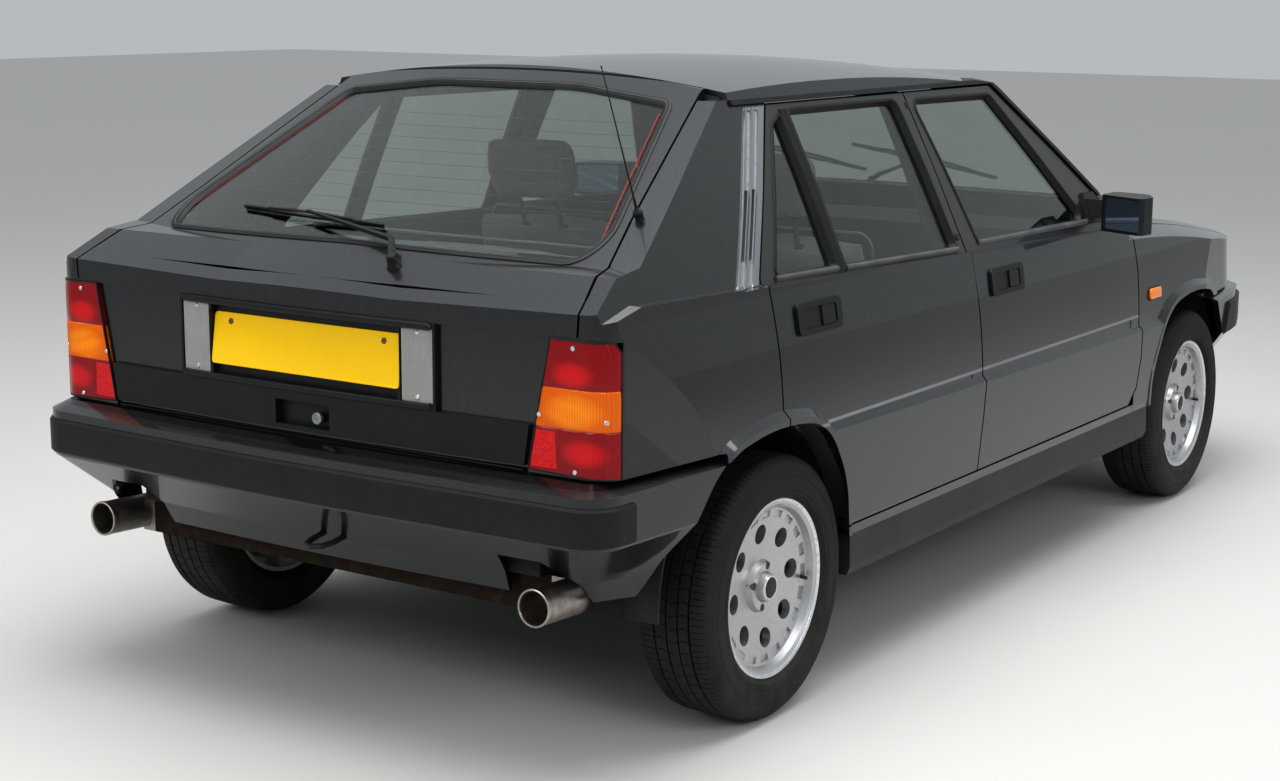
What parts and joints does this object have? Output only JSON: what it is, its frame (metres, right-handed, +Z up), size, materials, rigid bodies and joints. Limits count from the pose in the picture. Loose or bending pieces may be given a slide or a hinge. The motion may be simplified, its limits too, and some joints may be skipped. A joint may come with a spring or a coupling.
{
  "type": "five-door hatchback rally car",
  "caption": "Boxy five-door hatchback with flared arches, opening doors, bonnet and tailgate, and steered and free-turning wheels.",
  "frame": {"origin": "on the ground below the middle of the overall length and width", "axes": "+X forwards, +Y to the car's left, +Z up"},
  "size_m": [3.8949, 1.8824, 1.3997],
  "materials": {
    "body_paint": "dark grey metallic gloss",
    "black_plastic": "satin black",
    "black_rubber": "matt",
    "tyre": "matt",
    "wheel_silver": "silver painted, weathered",
    "window_glass": "clear",
    "red_lens": "red and amber lens",
    "clear_lens": "clear moulded lens",
    "yellow_plate": "plain yellow",
    "grey_cloth": "woven",
    "black_steel": "satin black",
    "cast_iron": "machined and rusty",
    "exhaust_steel": "heat dulled",
    "mirror": "blue tinted",
    "engine_alloy": "cast"
  },
  "bodies": {
    "shell": {"aerial": "black_rubber", "body_side_left": "body_paint", "body_side_right": "body_paint", "bulkhead": "black_steel", "dashboard": "black_plastic", "driveline": "black_steel", "engine_block": "engine_alloy", "exhaust": "exhaust_steel", "floor_pan": "black_steel", "front_bumper": "body_paint", "front_seats": "grey_cloth", "front_wing_left": "body_paint", "front_wing_right": "body_paint", "front_wipers": "black_rubber", "grille": "black_plastic", "headlamps": "clear_lens", "nose_panel": "body_paint", "pillar_vents": "black_plastic", "rear_bench": "grey_cloth", "rear_bumper": "body_paint", "roof_panel": "body_paint", "rubber_strips": "black_rubber", "scuttle": "black_plastic", "sill_skirts": "black_plastic", "suspension": "cast_iron", "tail_lamps": "red_lens", "wheel_liners": "black_steel", "windscreen": "window_glass"},
    "front_left_door": {"door_front_left": "body_paint", "fittings_front_left": "black_plastic", "glass_front_left": "window_glass", "mirror_glass_left": "mirror"},
    "front_left_wheel": {"rim_front_left": "wheel_silver", "tyre_front_left": "tyre"},
    "rear_left_door": {"door_rear_left": "body_paint", "fittings_rear_left": "black_plastic", "glass_rear_left": "window_glass"},
    "rear_left_wheel": {"rim_rear_left": "wheel_silver", "tyre_rear_left": "tyre"},
    "left_steering_knuckle": {"knuckle_left": "cast_iron"},
    "front_right_door": {"door_front_right": "body_paint", "fittings_front_right": "black_plastic", "glass_front_right": "window_glass", "mirror_glass_right": "mirror"},
    "front_right_wheel": {"rim_front_right": "wheel_silver", "tyre_front_right": "tyre"},
    "rear_right_door": {"door_rear_right": "body_paint", "fittings_rear_right": "black_plastic", "glass_rear_right": "window_glass"},
    "rear_right_wheel": {"rim_rear_right": "wheel_silver", "tyre_rear_right": "tyre"},
    "right_steering_knuckle": {"knuckle_right": "cast_iron"},
    "hatch": {"number_plate": "yellow_plate", "rear_wiper": "black_rubber", "reverse_lamps": "clear_lens", "tailgate": "body_paint", "tailgate_glass": "window_glass", "tailgate_trim": "black_plastic"},
    "hood": {"bonnet": "body_paint"},
    "hand_wheel": {"steering_wheel": "black_plastic"}
  },
  "joints": [
    {"name": "front_left_door_hinge", "type": "hinge", "parent": "shell", "child": "front_left_door", "pos_m": [0.6875, 0.792, 0.502], "axis": [0, 0, 1], "range_deg": [-65, 0]},
    {"name": "rear_left_door_hinge", "type": "hinge", "parent": "shell", "child": "rear_left_door", "pos_m": [-0.3575, 0.792, 0.502], "axis": [0, 0, 1], "range_deg": [-65, 0]},
    {"name": "left_steer", "type": "hinge", "parent": "shell", "child": "left_steering_knuckle", "pos_m": [1.1925, 0.58, 0.289], "axis": [0, 0, 1], "range_deg": [-32, 32]},
    {"name": "front_left_wheel_spin", "type": "hinge", "parent": "left_steering_knuckle", "child": "front_left_wheel", "pos_m": [1.1925, 0.704, 0.289], "axis": [0, 1, 0], "continuous": true},
    {"name": "rear_left_wheel_spin", "type": "hinge", "parent": "shell", "child": "rear_left_wheel", "pos_m": [-1.2825, 0.704, 0.289], "axis": [0, 1, 0], "continuous": true},
    {"name": "front_right_door_hinge", "type": "hinge", "parent": "shell", "child": "front_right_door", "pos_m": [0.6875, -0.792, 0.502], "axis": [0, 0, 1], "range_deg": [0, 65]},
    {"name": "rear_right_door_hinge", "type": "hinge", "parent": "shell", "child": "rear_right_door", "pos_m": [-0.3575, -0.792, 0.502], "axis": [0, 0, 1], "range_deg": [0, 65]},
    {"name": "right_steer", "type": "hinge", "parent": "shell", "child": "right_steering_knuckle", "pos_m": [1.1925, -0.58, 0.289], "axis": [0, 0, 1], "range_deg": [-32, 32]},
    {"name": "front_right_wheel_spin", "type": "hinge", "parent": "right_steering_knuckle", "child": "front_right_wheel", "pos_m": [1.1925, -0.704, 0.289], "axis": [0, 1, 0], "continuous": true},
    {"name": "rear_right_wheel_spin", "type": "hinge", "parent": "shell", "child": "rear_right_wheel", "pos_m": [-1.2825, -0.704, 0.289], "axis": [0, 1, 0], "continuous": true},
    {"name": "steering_wheel_turn", "type": "hinge", "parent": "shell", "child": "hand_wheel", "pos_m": [0.2175, 0.35, 0.87313], "axis": [-0.9055, 0, 0.4244], "range_deg": [-480, 480]},
    {"name": "tailgate_hinge", "type": "hinge", "parent": "shell", "child": "hatch", "pos_m": [-1.2005, 0, 1.325], "axis": [0, 1, 0], "range_deg": [0, 80]},
    {"name": "bonnet_hinge", "type": "hinge", "parent": "shell", "child": "hood", "pos_m": [1.8145, 0, 0.761], "axis": [0, 1, 0], "range_deg": [0, 55]}
  ],
  "couplings": [
    {"joint": "right_steer", "follows": "left_steer", "ratio": 1},
    {"joint": "steering_wheel_turn", "follows": "left_steer", "ratio": 14}
  ]
}
